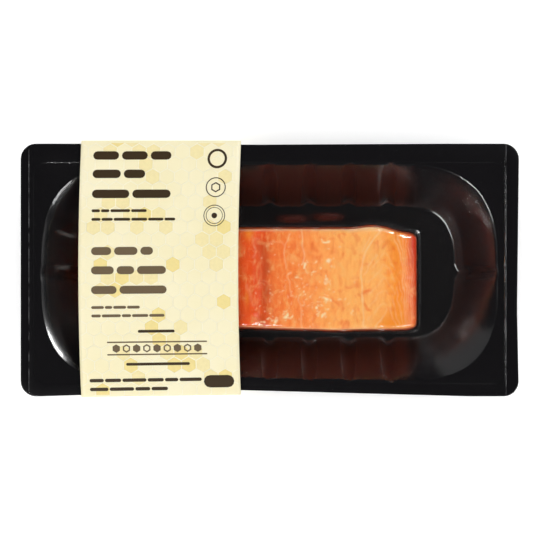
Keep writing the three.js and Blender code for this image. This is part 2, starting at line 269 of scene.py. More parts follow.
def cavity_outline(share, grow=0.0, fluted=1.0):
    """The cavity's oval at a share of the wall's run, from 0 at the floor to 1 at the rim."""
    straight, end, half, flute, shift = (FLOOR[k] + (RIM[k] - FLOOR[k]) * share
                                         for k in ("straight", "end", "half", "flute", "shift"))
    end, half, flute = end + grow, half + grow, flute * fluted

    def oval(part):
        return np.maximum(0, 1 - np.clip(part, 0, 1) ** OVAL_POWER) ** (1 / OVAL_POWER)

    corner_share = 0.5 ** (1 / OVAL_POWER)
    return {
        "shift": shift,
        "corner": (straight + end * corner_share, half * corner_share),
        "side": lambda x, sign: share * rim_drawn(x, sign) + sign * (
            half * oval((np.abs(x) - straight) / end) + flute * side_flute(x)),
        "end": lambda y, sign: sign * (straight + end * oval(np.abs(y) / half)
                                       + flute * bell(y, FLUTE_HALF_WIDTH)),
    }


def rounded_outline(half_length, half_width, radius, shift=0.0):
    def arc(past):
        return radius - np.sqrt(np.maximum(0, radius ** 2 - np.maximum(0, past) ** 2))

    cut = radius * (1 - math.sqrt(0.5))
    return {
        "shift": shift,
        "corner": (half_length - cut, half_width - cut),
        "side": lambda x, sign: sign * (half_width - arc(np.abs(x) - half_length + radius)),
        "end": lambda y, sign: sign * (half_length - arc(np.abs(y) - half_width + radius)),
    }


def step_outline(inset):
    half_length, half_width = STEP["half_length"] - inset, STEP["half_width"] - inset
    plain = rounded_outline(half_length, half_width, STEP["corner"], RIM["shift"])
    return {**plain, "side": lambda x, sign: plain["side"](x, sign) + rim_drawn(x, sign)}


def flange_outline(inset):
    """The flange's edge, drawn in where the sleeve grips it."""
    plain = rounded_outline(TRAY_HALF_LENGTH - inset, TRAY_HALF_WIDTH - inset, TRAY_CORNER - inset)

    def side(x, sign):
        return plain["side"](x, sign) - sign * tent(x, **(FRONT_DRAW if sign < 0 else BACK_DRAW))

    def end(y, sign):
        return plain["end"](y, sign) - (tent(y, **END_DRAW) if sign > 0 else 0)

    return {"shift": 0.0, "corner": plain["corner"], "side": side, "end": end}


def pulled_down(z):
    return lambda x, y: z - np.where(y < -30, DRAW_DROP * tent(x, **FRONT_DRAW), 0)


def wall_profile(*slopes):
    """Heights along the wall's run, from slopes in degrees at some places, scaled to meet the rim."""
    places, degrees = np.array(slopes, float).T
    run = np.linspace(0, WALL_RUN, 435)
    middle = (run[1:] + run[:-1]) / 2
    climbs = np.diff(run) * np.tan(np.radians(np.interp(middle, places, degrees)))
    rise = np.concatenate([[0], np.cumsum(climbs)])
    return run, rise * CAVITY_DEPTH / rise[-1]


# These slopes are chosen for what the walls mirror, and aren't measured. The long walls turn
# sharply at the floor and the rim. The right end wall starts low behind and is steeper above.
# Its front part, and the left end wall, are even and round over widely before the rim.
SIDE_SLOPE = 45.4
END_FROM, END_TO = 72, 100
ROUND_FROM, ROUND_TO = 2, 20
SIDE_WALL = wall_profile((0, 0), (2.1, SIDE_SLOPE), (WALL_RUN - 0.6, SIDE_SLOPE), (WALL_RUN, 0))
TIGHT_END = wall_profile((0, 0), (1.5, 37), (4.5, 39), (7, 48.5), (WALL_RUN - 1.5, 48.5), (WALL_RUN, 0))
ROUND_END = wall_profile((0, 0), (0.8, 46.5), (WALL_RUN - 4, 46.5), (WALL_RUN - 0.3, 35), (WALL_RUN, 0))
MITRE = math.tan(math.radians(SIDE_SLOPE) / 2)
WALL_PLACES = np.concatenate([np.linspace(*stretch) for stretch in (
    (0, 1, 5), (1.5, 8, 12), (9.5, WALL_RUN - 6, 2), (WALL_RUN - 5.3, WALL_RUN - 1.5, 7),
    (WALL_RUN - 1.2, WALL_RUN, 9))])


def wall_rings(stations, offset, fluted=1.0):
    def height(at):
        side, tight, rounded = (np.interp(at, *wall) for wall in (SIDE_WALL, TIGHT_END, ROUND_END))

        def at_place(x, y):
            roundness = np.where(x < 0, 1, smooth_step(-y, ROUND_FROM, ROUND_TO))
            end = tight + (rounded - tight) * roundness
            return FLOOR_TOP + offset + side + (end - side) * smooth_step(np.abs(x), END_FROM, END_TO)

        return at_place

    return [ring(cavity_outline(at / WALL_RUN, -offset * MITRE, fluted), height(at), stations)
            for at in WALL_PLACES]


def step_rings(stations, offset, steps=4):
    rings = []
    for t in np.linspace(0, 1, steps + 1):
        outline = step_outline(STEP["slope"] * (1 - t) + offset)
        lift = STEP["height"] * t * t * (3 - 2 * t)
        rings.append(ring(outline, FLANGE_TOP + lift + offset, stations))
    return rings


def joined(a, b):
    """Quads between two loops of point numbers."""
    return np.stack([a, b, np.roll(b, -1), np.roll(a, -1)], 1)


def fan(middle, loop, down=False):
    """Triangles from one point to each side of a loop."""
    after = np.roll(loop, -1)
    return np.stack([np.full(len(loop), middle), *((after, loop) if down else (loop, after))], 1)


def strips(rings, first=0):
    """Quads between rings, which run from the middle of the top outwards."""
    count = len(rings[0])
    loops = [first + k * count + np.arange(count) for k in range(len(rings))]
    return np.concatenate([joined(a, b) for a, b in zip(loops, loops[1:])])


# %% [markdown]
# ## Black tray plastic
# Trays like this are thermoformed from a black PET sheet: the sheet is heated until it sags
# and is pulled into a mould. That leaves a deep, even black with a clean gloss, and walls
# that are very slightly wavy, which shows only in how they bend a reflection. So the colour
# is flat and near black, the gloss is that of PET, and slow noise in the normal does the rest.

# %% Thermoformed black PET
def thermoformed_black_pet():
    material, tree, place = new_material("thermoformed_black_pet")
    grain = noise(tree, place, 0.9, 2.0)
    wavy = bump(tree, noise(tree, place, 14, 1.5), 0.35, 0.4)
    gloss = remap(tree, grain, 0, 1, 0.2, 0.26)
    return finish_material(material, principled(tree, linear("#0f0e10"), gloss, {
        "Normal": bump(tree, grain, 0.05, 0.1, Normal=wavy), "IOR": 1.5, "Specular IOR Level": 0.12}))


# %% [markdown]
# ## The tray
# The rings run from the middle of the floor up the wall, over the step in the flange, round
# the lip and back underneath, one thickness of plastic below. The floor closes with a fan of
# triangles round one point, above and below, so the tray is one watertight shell.

# %% Tray
TRAY_STATIONS = (half_stations(128, 34), half_stations(12, 26))
FLAT_FLOOR_INSET = 2.0


def tray_rings():
    turns = np.linspace(0, math.pi / 2, 5)
    border = [
        *[(LIP_ROUND * (1 - math.sin(a)), LIP_ROUND * (1 - math.cos(a))) for a in turns],
        (0, LIP_HEIGHT - 0.1), (0.1, LIP_HEIGHT), (PLASTIC - 0.1, LIP_HEIGHT), (PLASTIC, LIP_HEIGHT - 0.1),
        (PLASTIC + 0.05, STEP["height"] + PLASTIC + 0.3), (PLASTIC + LIP_ROUND, STEP["height"] + PLASTIC),
    ]
    flat_floor = cavity_outline(0, -FLAT_FLOOR_INSET, fluted=0)
    return [
        ring(flat_floor, FLOOR_TOP, TRAY_STATIONS),
        *wall_rings(TRAY_STATIONS, 0),
        *step_rings(TRAY_STATIONS, 0),
        *[ring(flange_outline(inset), pulled_down(BORDER_TOP - drop), TRAY_STATIONS)
          for inset, drop in border],
        ring(step_outline(0), FLANGE_TOP - PLASTIC, TRAY_STATIONS),
        *wall_rings(TRAY_STATIONS, -PLASTIC)[::-1],
        ring(flat_floor, FLOOR_TOP - PLASTIC, TRAY_STATIONS),
    ]


def closed_shell(name, rings, top, bottom, *materials):
    """Rings closed with a fan round one point above and another below."""
    near = np.arange(len(rings[0]))
    points = np.concatenate([*rings, [top], [bottom]])
    above = fan(len(points) - 2, near)
    below = fan(len(points) - 1, (len(rings) - 1) * len(near) + near, down=True)
    faces = [*strips(rings).tolist(), *above.tolist(), *below.tolist()]
    return make_piece(name, points, faces, *materials)


tray = closed_shell("tray_shell", tray_rings(), [0, FLOOR["shift"], FLOOR_TOP],
                    [0, FLOOR["shift"], FLOOR_TOP - PLASTIC], thermoformed_black_pet())
finish_piece(tray, "tray", "tray")

# %% [markdown]
# ## The fillet's form
# A cross-cut portion of a salmon side is thin at the belly and thick at the loin, and it falls
# away towards the fish's back. The long sides are clean knife cuts. The flesh is made of
# blocks of muscle between thin sheets of pale tissue, which show as lines on the top. Some of
# those lines stand in grooves, and flecks of fat lie between them.

# %% Outline and thickness of the fillet
FILLET_BASE = FLOOR_TOP + 0.3
FILLET_LEFT, FILLET_RIGHT = -70.2, 74.1
FILLET_BACK, FILLET_FRONT = 20.7, -29.8
FILLET_HALF = ((FILLET_RIGHT - FILLET_LEFT) / 2, (FILLET_BACK - FILLET_FRONT) / 2)
FILLET_MIDDLE = ((FILLET_RIGHT + FILLET_LEFT) / 2, (FILLET_BACK + FILLET_FRONT) / 2)
BELLY_THICKNESS, LOIN_THICKNESS = 10.0, 22.2
BELLY_FROM, LOIN_FROM, LOIN_TO = -82.2, 12.0, 50.0
BACK_FALL, BACK_FALL_POWER = 4.0, 2.2
EDGE_ROUND = 2.4
CORNER_POWER = 22


def back_edge(x):
    return FILLET_BACK - 2 * smooth_step(x, 56, 70) + 1.1 * bell(x - 51, 12)


def front_edge(x):
    return FILLET_FRONT + 0.9 * (1 - smooth_step(x, -20, 25)) - 0.4 * bell(x - 34, 14)


def thickness(x, y):
    rise = smooth_step(x, BELLY_FROM, LOIN_FROM)
    past_loin = np.maximum(0, (x - LOIN_TO) / (FILLET_RIGHT - LOIN_TO))
    belly_step = 1.3 * (1 - smooth_step(x, -9, -4))
    septum = 0.4 * bell(x - 44 - 0.02 * (y + 12) ** 2, 3.5)
    muscle = 0.3 * np.sin(2 * np.pi * x / 20.3 + 0.9 * np.cos(2 * np.pi * y / 52.4))
    return (BELLY_THICKNESS + (LOIN_THICKNESS - BELLY_THICKNESS) * rise
            - BACK_FALL * past_loin ** BACK_FALL_POWER - belly_step - septum + muscle)


def top_grid(u, v):
    """Points of the fillet's top for u and v from -1 to 1, and how far in from the edge each is."""
    u, v = np.meshgrid(u, v)
    reach = np.maximum(np.abs(u), np.abs(v))
    total = (np.abs(u) ** CORNER_POWER + np.abs(v) ** CORNER_POWER) ** (1 / CORNER_POWER)
    squeeze = np.where(reach > 0, reach / np.maximum(total, 1e-9), 1)
    x = FILLET_LEFT + (FILLET_RIGHT - FILLET_LEFT) * (u * squeeze + 1) / 2
    y = front_edge(x) + (back_edge(x) - front_edge(x)) * (v * squeeze + 1) / 2
    inside = np.minimum((1 - np.abs(u)) * FILLET_HALF[0], (1 - np.abs(v)) * FILLET_HALF[1])
    return x, y, inside


def edge_drop(inside):
    near = EDGE_ROUND - np.minimum(inside, EDGE_ROUND)
    return EDGE_ROUND - np.sqrt(np.maximum(0, EDGE_ROUND ** 2 - near ** 2))


def rounded_spacing(half_size, middle_steps, edge_steps=8):
    """Numbers from -1 to 1, even in the middle and following a quarter circle at the edge."""
    edge = EDGE_ROUND * (1 - np.cos(np.linspace(0, math.pi / 2, edge_steps + 1))) / half_size
    middle = np.linspace(-1 + edge[-1], 1 - edge[-1], middle_steps + 1)
    return np.concatenate([-1 + edge[:-1], middle, (1 - edge[:-1])[::-1]])


# %% [markdown]
# ## Lines and flecks in the flesh
# Each line is a curve through a few points on the fillet's top, in millimetres. The distance
# from every point of the mesh to the curve gives a soft mark, which both colours the flesh
# and presses the surface in. Marks that repeat, such as the fibres towards the fish's back
# and the nested chevrons, are made by loops. The flecks are seeded random ellipses.

# %% Marks on the fillet
LONG_LINES = [
    # points in mm, half width in mm, strength
    ([(10.1, 18), (8.2, 14), (7.4, 10), (7.3, 7), (8.6, 1)], 0.4, 0.42),
    ([(9.0, -3), (9.9, -7), (10.4, -13)], 0.35, 0.42),
    ([(16.0, 20), (16.4, 12.5), (17.8, 7), (16.8, 3.5), (18.4, -2)], 0.45, 0.5),
    ([(14.1, -12), (15.1, -18), (15.4, -23), (16.2, -29)], 0.4, 0.42),
    ([(-1.9, 12), (1.6, 14.5), (5.6, 14), (8.1, 12)], 0.45, 0.22),
    ([(55.6, 20), (53.2, 16.4), (50.0, 12.0), (47.4, 7), (46.2, 1), (46.1, -7.5), (46.6, -19),
      (47.2, -30)], 0.42, 0.55),
    ([(50.6, 16.5), (48.2, 12.5), (46.4, 8.5)], 0.35, 0.3),
    ([(53.6, 8), (50.2, 3.4), (47.6, -2.0)], 0.4, 0.3),
    ([(58.6, -19.5), (55.6, -24.5), (52.8, -29)], 0.45, 0.4),
    ([(-8.8, 16.5), (-7.4, 11.5), (-7.9, 6)], 0.6, 0.16),
    ([(-11.5, -8), (-9.6, -13), (-8.6, -18)], 0.7, 0.2),
]
GROOVE = [(-3.9, 13), (-2.6, 4), (-1.8, -6), (-2.4, -18), (-4.2, -29)]


def smooth_line(points, steps=10):
    """A Catmull-Rom curve through the points."""
    p = np.array([points[0], *points, points[-1]], float)
    t = np.linspace(0, 1, steps + 1)[:-1, None]
    parts = [0.5 * (2 * b + (c - a) * t + (2 * a - 5 * b + 4 * c - d) * t ** 2
                    + (3 * b - a - 3 * c + d) * t ** 3)
             for a, b, c, d in zip(p, p[1:], p[2:], p[3:])]
    return np.concatenate([*parts, p[-1:]])


def distance_to(line, x, y):
    """The distance from each point to a line of short segments."""
    best = np.full(x.shape, 1e9)
    for (ax, ay), (bx, by) in zip(line, line[1:]):
        dx, dy = bx - ax, by - ay
        t = np.clip(((x - ax) * dx + (y - ay) * dy) / max(dx * dx + dy * dy, 1e-9), 0, 1)
        best = np.minimum(best, np.hypot(x - ax - t * dx, y - ay - t * dy))
    return best


def chevrons():
    """Nested lines that peak at the loin, one for each block of muscle."""
    for k in range(5):
        top = 8.5 - 6.2 * k
        right_side = [(57.3, top), (60.0, top - 3.2), (62.4, top - 8.0)]
        yield [(50.4 - 0.3 * k, top - 8.5), (54.6, top - 2.6), *right_side], 0.45, 0.2


def fibres():
    """The slanting lines of muscle towards the fish's back."""
    for k in range(6):
        head, foot = 61.6 + 1.75 * k, 68.2 + 1.0 * k
        bend = (head + foot) / 2 + 1.5 - 0.2 * k
        yield [(head, 19), (bend, 0), (foot, -29)], 0.34, 0.4 - 0.05 * k
    for k in range(4):
        yield [(59.4 + 1.9 * k, -15 + 3 * k), (63.6 + 1.6 * k, -29)], 0.36, 0.26


def flecks():
    """Seeded ellipses of fat, and a row of painted glints along the front edge: where, how long, how wide,
    how turned and how strong.
    """
    rng = np.random.default_rng(11)
    large = [(28.1, -5.8, 2.3, 1.5, 1.2), (28.2, -14.8, 3.6, 1.3, -0.5), (29.3, 4.2, 2.6, 1.8, 1.9),
             (26.7, -23.2, 2.8, 1.6, 0.6), (13.7, -4.0, 1.9, 1.1, -0.7), (8.3, -22.6, 2.6, 1.1, 0.6),
             (-3.0, -26.2, 2.2, 0.9, -0.3), (4.5, -25.2, 2.8, 1.1, 0.3), (23.6, -19.2, 2.0, 1.0, -0.6),
             (17.5, -10.5, 1.7, 1.1, 0.9), (17.3, 2.0, 2.2, 0.9, 1.3), (41.0, -21.5, 1.4, 0.9, 0.4),
             (28.5, 14.5, 2.6, 1.0, 0.1), (22.0, -1.0, 1.7, 0.9, 0.6)]
    for x, y, length, width, turn in large:
        yield x, y, length, width, turn, 1.0
        for dx, dy in rng.normal(0, 1.9, (5, 2)):
            length, width = rng.uniform(0.7, 1.5), rng.uniform(0.4, 0.7)
            yield x + dx, y + dy, length, width, turn + rng.normal(0, 0.5), 0.6
    # This row along the front edge is painted glints of the film, drawn as pale flecks.
    for x in np.linspace(-4, 11, 16):
        y = -27 + 0.25 * (x + 4) + rng.normal(0, 0.9)
        yield x, y, rng.uniform(0.8, 1.6), 0.45, rng.normal(0.3, 0.3), 0.75
    for _ in range(130):
        x, y = rng.normal(16, 11), rng.normal(-15, 13)
        length, width = rng.uniform(0.5, 1.6), rng.uniform(0.35, 0.7)
        yield x, y, length, width, rng.uniform(-1.6, 1.6), rng.uniform(0.15, 0.5)


def flesh_marks(x, y):
    """How much pale tissue and fat shows at each point, with some painted glints, how deep the surface is
    pressed in, and the groove whose flesh gets painted shade.
    """
    wobble_x = x + 0.7 * value_noise(x, y, 3.0, 3)
    wobble_y = y + 0.7 * value_noise(x, y, 3.0, 4)
    pale, deep = np.zeros(x.shape), np.zeros(x.shape)
    for points, half_width, strength in [*LONG_LINES, *chevrons(), *fibres()]:
        away = distance_to(smooth_line(points), wobble_x, wobble_y)
        mark = strength * np.exp(-(away / half_width) ** 2)
        broken = 0.75 + 0.25 * value_noise(x, y, 2.2, 5)
        pale = np.maximum(pale, mark * broken)
        deep = np.maximum(deep, strength * np.exp(-((away - half_width) / (1.2 * half_width)) ** 2))
    ragged = 1 + 0.55 * value_noise(x, y, 0.9, 8) + 0.3 * value_noise(x, y, 1.7, 12)
    for at_x, at_y, length, width, turn, strength in flecks():
        dx, dy = wobble_x - at_x, wobble_y - at_y
        along = (dx * math.cos(turn) + dy * math.sin(turn)) / length
        across = (dy * math.cos(turn) - dx * math.sin(turn)) / width
        fleck = np.exp(-(along ** 2 + across ** 2)) * ragged
        pale = np.maximum(pale, strength * smooth_step(fleck, 0.4, 1.05))
    # The groove is pressed into the surface, and the flesh along it is darkened as painted shade.
    groove_and_painted_shade = np.exp(-(distance_to(smooth_line(GROOVE), wobble_x, wobble_y) / 2.8) ** 2)
    groove_and_painted_shade *= 0.38 + 0.25 * value_noise(x, y, 5.0, 13)
    return pale, deep, groove_and_painted_shade


def soft_spot(x, y, at_x, at_y, radius_x, radius_y):
    return np.exp(-((x - at_x) / radius_x) ** 2 - ((y - at_y) / radius_y) ** 2)


def colour_spots(x, y):
    """Where the flesh turns amber, and where the skin side shows through deep red."""
    amber = (0.85 * soft_spot(x, y, 60, -27, 7, 5.5) + 0.75 * soft_spot(x, y, -10.5, 18.5, 2.2, 3.2)
             + 0.5 * soft_spot(x, y, -11.5, -14, 1.0, 4.0) + 0.45 * bell(x - 66, 6))
    ruby = 0.9 * soft_spot(x, y, 72.5, 12, 2.6, 8) + 0.5 * soft_spot(x, y, 73.5, -5, 1.4, 14)
    ruby += 0.8 * soft_spot(x, y, 71, 20.5, 6, 2.5)
    return np.clip(amber, 0, 1), np.clip(ruby, 0, 1)


def relief(x, y, pale, deep, groove_and_painted_shade):
    """Fine height of the flesh, in mm: flakes, pressed lines, raised fat and the long groove."""
    flakes = 0.08 * value_noise(x, y, 2.4, 6) + 0.05 * value_noise(x, y, 1.1, 7)
    return flakes - 0.10 * deep + 0.07 * pale - 0.22 * groove_and_painted_shade


# %% [markdown]
# ## Smoked salmon flesh
# Light scatters inside the flesh and comes out again a little way off, which is why
# salmon looks soft and lit from within. Subsurface scattering does that, with red travelling
# furthest. The colour runs from the deep orange-red of the belly, over the paler loin, to the
# saturated orange of the back. The tissue marks are paler and yellower than the muscle.

# %% Smoked salmon
BELLY_TO_BACK = [
    # place along the fillet in mm, and the flesh's colour there
    # The darker stops from -15 to -2.5 mm, beside the groove, are the belly's deeper red with painted shade
    # added.
    (-70, "#ee6428"), (-15, "#f15c1f"), (-7, "#ec591d"), (-2.5, "#e2561d"), (1, "#ef7c39"),
    (9, "#f58942"), (20, "#fb994f"), (30, "#fdab5c"), (40, "#fdb564"), (56, "#fbb262"),
    (62, "#f99c38"), (67, "#fd8923"), (71, "#ea610c"), (74, "#cf400a"),
]


def smoked_salmon_flesh():
    material, tree, place = new_material("smoked_salmon_flesh")
    x = add(tree, "ShaderNodeSeparateXYZ", {"Vector": place}).outputs["X"]
    drift = maths(tree, "MULTIPLY_ADD", noise(tree, place, 7, 3.0), 5 * MM, x)
    along = remap(tree, drift, (FILLET_LEFT + 2.5) * MM, (FILLET_RIGHT + 2.5) * MM, 0, 1)
    ramp = add(tree, "ShaderNodeValToRGB", {"Fac": along})
    stops = ramp.color_ramp.elements
    for k, (at, colour) in enumerate(BELLY_TO_BACK):
        share = min(1, max(0, (at - FILLET_LEFT) / (FILLET_RIGHT - FILLET_LEFT)))
        stop = stops[k] if k < 2 else stops.new(share)
        stop.position = share
        stop.color = linear(colour)
    # Muscle fibres run across the portion, so the fine streaks are stretched along Y.
    across = add(tree, "ShaderNodeMapping", {"Vector": place, "Scale": (1.0, 0.3, 1.0)}).outputs["Vector"]
    streaks = noise(tree, across, 2.2, 4.0, 0.5)
    blotches = noise(tree, place, 5, 4.0, 0.8)
    tints = [(remap(tree, field, low, high, 0, most), tint) for field, low, high, most, tint in (
        (blotches, 0.54, 0.72, 0.45, "#ea5b29"), (blotches, 0.46, 0.3, 0.4, "#f6bd76"),
        (streaks, 0.5, 0.75, 0.38, "#f6c174"), (streaks, 0.5, 0.25, 0.28, "#da531b"))]
    # Of these tints, the pale one along the back and front edges is a painted highlight, the darkest one on
    # the right end face is painted shade, those of the groove and of the cut sides are partly painted shade,
    # and the pale marks include a row of painted glints.
    tints += [(attribute(tree, name), tint) for name, tint in (
        ("amber", "#f0912a"), ("ruby", "#d03a21"), ("groove_and_painted_shade", "#b0401a"), ("pale", "#f6daaa"),
        ("rim", "#f6deb5"), ("cut", "#c8521f"), ("painted_shade_right_end", "#7c3616"))]
    colour = ramp.outputs["Color"]
    for factor, tint in tints:
        colour = mixed_colour(tree, factor, colour, linear(tint))
    return finish_material(material, principled(tree, colour, 0.38, {
        "Normal": bump(tree, streaks, 0.25, 0.2), "Specular IOR Level": 0.15, "Subsurface Weight": 0.25,
        "Subsurface Radius": (1.0, 0.42, 0.18), "Subsurface Scale": 0.9 * MM}))


# %% [markdown]
# ## The fillet
# The top is a grid whose rows close up at the edges, so that the rounding of the cut edge is
# smooth. Its border is then carried down the sides in rings. The knife leaves the sides a
# little wavy, and the soft flesh spreads at the foot. A fan closes the flat underside.

# %% Fillet
def grid_faces(columns, rows, first=0, down=False):
    corner = (np.arange(rows - 1)[:, None] * columns + np.arange(columns - 1)).ravel() + first
    faces = np.stack([corner, corner + 1, corner + columns + 1, corner + columns], 1)
    return faces[:, ::-1] if down else faces


def border_numbers(columns, rows):
    """The numbers of a grid's border points, in the order of a ring."""
    number = np.arange(rows * columns).reshape(rows, columns)
    return np.concatenate([number[0], number[1:-1, -1], number[-1, ::-1], number[1:-1, 0][::-1]])


def spread_out(border, spread, share, base):
    """The fillet's border moved outwards, at a share of its height above a base."""
    out = (border[:, :2] - FILLET_MIDDLE) / FILLET_HALF
    z = base + (border[:, 2] - base) * share
    return np.column_stack([border[:, :2] + out * np.reshape(spread, (-1, 1)), z])


def build_fillet():
    u, v = rounded_spacing(FILLET_HALF[0], 340), rounded_spacing(FILLET_HALF[1], 116)
    x, y, inside = top_grid(u, v)
    pale, deep, groove_and_painted_shade = flesh_marks(x, y)
    amber, ruby = colour_spots(x, y)
    fine = relief(x, y, pale, deep, groove_and_painted_shade) * np.clip(inside / 1.5, 0, 1)
    z = FILLET_BASE + thickness(x, y) - edge_drop(inside) + fine
    # The rim mark built here is a painted highlight along the back and front edges of the fillet's top.
    edge_highlight_width = 0.9 + 0.8 * bell(x - 50, 16)
    back_edge_highlight = np.exp(-((back_edge(x) - y) / edge_highlight_width) ** 2) * (1 - smooth_step(x, 54, 64))
    front_edge_highlight = 0.9 * np.exp(-((y - front_edge(x)) / 0.7) ** 2)
    rim = 0.85 * np.maximum(back_edge_highlight, front_edge_highlight) * (0.8 + 0.2 * value_noise(x, y, 2.5, 9))
    top = np.stack([x, y, z], -1).reshape(-1, 3)
    order = border_numbers(len(u), len(v))
    border = top[order]
    rings = []
    for share in np.linspace(1, 0, 15)[1:]:
        spread = np.interp(share, [0, 0.15, 0.6, 1], [0.55, 1.1, 0.77, 0])
        cut = 0.16 * value_noise(border[:, 0] + border[:, 1], share * border[:, 2] + 40, 3.5, 10)
        spread = spread + cut * min(1, 4 * (1 - share)) * (share > 0)
        rings.append(spread_out(border, spread, share, FILLET_BASE))
    points = np.concatenate([top, *rings, [[*FILLET_MIDDLE, FILLET_BASE]]])
    start, near = len(top), np.arange(len(order))
    bottom = start + (len(rings) - 1) * len(order) + near
    parts = [grid_faces(len(u), len(v)), joined(order, start + near), strips(rings, start),
             fan(len(points) - 1, bottom, down=True)]
    faces = [face for part in parts for face in part.tolist()]
    rest = len(points) - len(top)
    fields = {"pale": pale, "groove_and_painted_shade": groove_and_painted_shade, "amber": amber, "ruby": ruby, "rim": rim}
    marks = {name: np.concatenate([field.ravel(), np.zeros(rest)]) for name, field in fields.items()}
    # The cut sides and the top's last fraction of a millimetre get a darker red: partly the cut flesh's own
    # colour, partly painted shade from the tray round them.
    at_side = np.interp(inside, [0.15, 0.45], [1.0, 0.0])
    marks["cut"] = np.concatenate([at_side.ravel(), np.ones(rest)])
    # The right end face is darkened further, as painted shade.
    marks["painted_shade_right_end"] = marks["cut"] * smooth_step(points[:, 0], 69.5, 73)
    return make_piece("fillet_flesh", points, faces, smoked_salmon_flesh(), attributes=marks)


fillet = build_fillet()
finish_piece(fillet, "fillet", "fillet")

# %% [markdown]
# ## The film
# Skin film is a clear, stretchy sheet a tenth of a millimetre thick. It touches everything
# under it, so here it follows the fillet's grid and the tray's rings with fewer points, lifted
# a little. Round the fillet's foot it spans the last corner in a small tent, and on the floor
# it keeps a few wrinkles, which catch the light.

# %% Film
FILM_LEFT, FILM_RIGHT = -120.9, 118.6
FILM_TRIM = 0.4
FILM_LIFT, FILM_THICKNESS = 0.22, 0.1
FILM_FLUTED = 0.75
CUT_EDGE = 0.36
FILM_STATIONS = (half_stations(56, 40), half_stations(6, 30))


def film_outline(inset):
    flange = flange_outline(FILM_TRIM + inset)
    right = FILM_RIGHT - inset
    left = FILM_LEFT + inset
    return {
        "shift": 0.0,
        "corner": (right, flange["corner"][1]),
        "side": flange["side"],
        "end": lambda y, sign: np.full(y.shape, right if sign > 0 else left),
    }


# Patches where the film is tinted brown as a painted reflection of the fillet behind it.
FILLET_REFLECTION_PATCHES = ((11.6, 26.3, 10.5, 2.9), (29.9, 27.2, 10.5, 2.9))
# Pale streaks tinted on the film as painted highlights: two at the left end, one on the back wall and one
# down each of some front flutes.
FLUTES_WITH_PAINTED_HIGHLIGHTS = (-3.6, 16.8, 36.8, 56.6)
PAINTED_HIGHLIGHT_PLACES = [
    # strength, then the middle and half the size in X and Y, in mm
    (1, -101.5, 17.4, 4, 1.3), (1, -104, 1.3, 3, 1.2), (0.2, 55.4, 46, 1.3, 9),
    *[(0.14, flute, -47.5, 1.4, 8) for flute in FLUTES_WITH_PAINTED_HIGHLIGHTS],
]


def patch(x, y, middle_x, middle_y, half_x, half_y):
    return bell(x - middle_x, half_x) * bell(y - middle_y, half_y)


def floor_wrinkles(x, y):
    """Height of the film's wrinkles on the tray's floor, in mm."""
    beside = patch(x, y, 84, -8, 10, 30)
    behind = patch(x, y, 11.6, 26.3, 11, 2.6) + patch(x, y, 29.7, 27.3, 10, 2.5)
    beside_waves = np.sin(2 * np.pi * (x - 0.25 * y) / 4.6 + 1.5 * value_noise(x, y, 9, 21))
    behind_waves = np.sin(2 * np.pi * (y + 0.1 * x) / 1.9 + 2 * value_noise(x, y, 6, 22))
    return 0.06 * beside * (1 + beside_waves) + 0.6 * behind * (0.85 + 0.15 * behind_waves)


def film_marks(x, y, z):
    """Where the film carries a painted reflection of the fillet behind it, where it is faintly hazy near the
    floor, and where it carries painted highlights.
    """
    brown = 1.7 * sum(patch(x, y, *place) for place in FILLET_REFLECTION_PATCHES)
    # A faint grey haze on the film near the floor.
    haze_and_painted_highlights = 0.018 * (1 - smooth_step(z, FLOOR_TOP + 1, FLOOR_TOP + 4))
    for strength, *place in PAINTED_HIGHLIGHT_PLACES:
        haze_and_painted_highlights = haze_and_painted_highlights + strength * patch(x, y, *place)
    return {"painted_fillet_reflection": np.clip(brown, 0, 1), "haze_and_painted_highlights": haze_and_painted_highlights}


def film_face(offset):
    """One face of the film as a cap over the fillet and rings from there outwards."""
    u, v = rounded_spacing(FILLET_HALF[0], 176), rounded_spacing(FILLET_HALF[1], 56)
    x, y, inside = top_grid(u, v)
    pale, deep, groove_and_painted_shade = flesh_marks(x, y)
    z = (FILLET_BASE + thickness(x, y) - edge_drop(inside) + offset
         + 0.7 * relief(x, y, pale, deep, groove_and_painted_shade) * np.clip(inside / 1.5, 0, 1))
    cap = np.stack([x, y, z], -1).reshape(-1, 3)
    border = cap[border_numbers(len(u), len(v))]
    base = FLOOR_TOP + offset
    shares = [0.97, 0.9, 0.75, 0.55, 0.35, 0.2, 0.1, 0.04, 0.0]
    spreads = [0.3, 0.75, 1.2, 1.5, 1.7, 1.85, 2.0, 2.3, 2.8]
    rings = [spread_out(border, spread + offset, share, base) for share, spread in zip(shares, spreads)]
    walls = wall_rings(FILM_STATIONS, offset, FILM_FLUTED)
    for t in np.linspace(0, 1, 16)[1:-1]:
        between = rings[len(shares) - 1] * (1 - t) + walls[0] * t
        between[:, 2] += floor_wrinkles(between[:, 0], between[:, 1]) * min(1, 5 * t, 5 * (1 - t))
        rings.append(between)
    edge = []
    for inset in (1.2, 0.35, 0.1, 0.0):
        outer = ring(film_outline(inset), pulled_down(BORDER_TOP + offset), FILM_STATIONS)
        outer[:, 0] = np.clip(outer[:, 0], FILM_LEFT + inset, FILM_RIGHT - inset)
        edge.append(outer)
    return cap, [*rings, *walls, *step_rings(FILM_STATIONS, offset), *edge], (len(u), len(v))


# %% [markdown]
# ## Clear film
# The film's surface is all that shows: it is clear, and it mirrors as any plastic does, most
# at a glancing angle. So it is a transparent surface mixed with a mirror by the Fresnel rule.
# The rule is written out, as it has to be the same on the film's inner and outer faces.
# The cut edge scatters light, so a hair's breadth of it is pale. Behind the fillet the film is tinted brown,
# a painted reflection of the fillet, and pale streaks at the left end and in some flutes are tinted on as
# painted highlights. What makes them on the real pack isn't known, and they may be reflections.

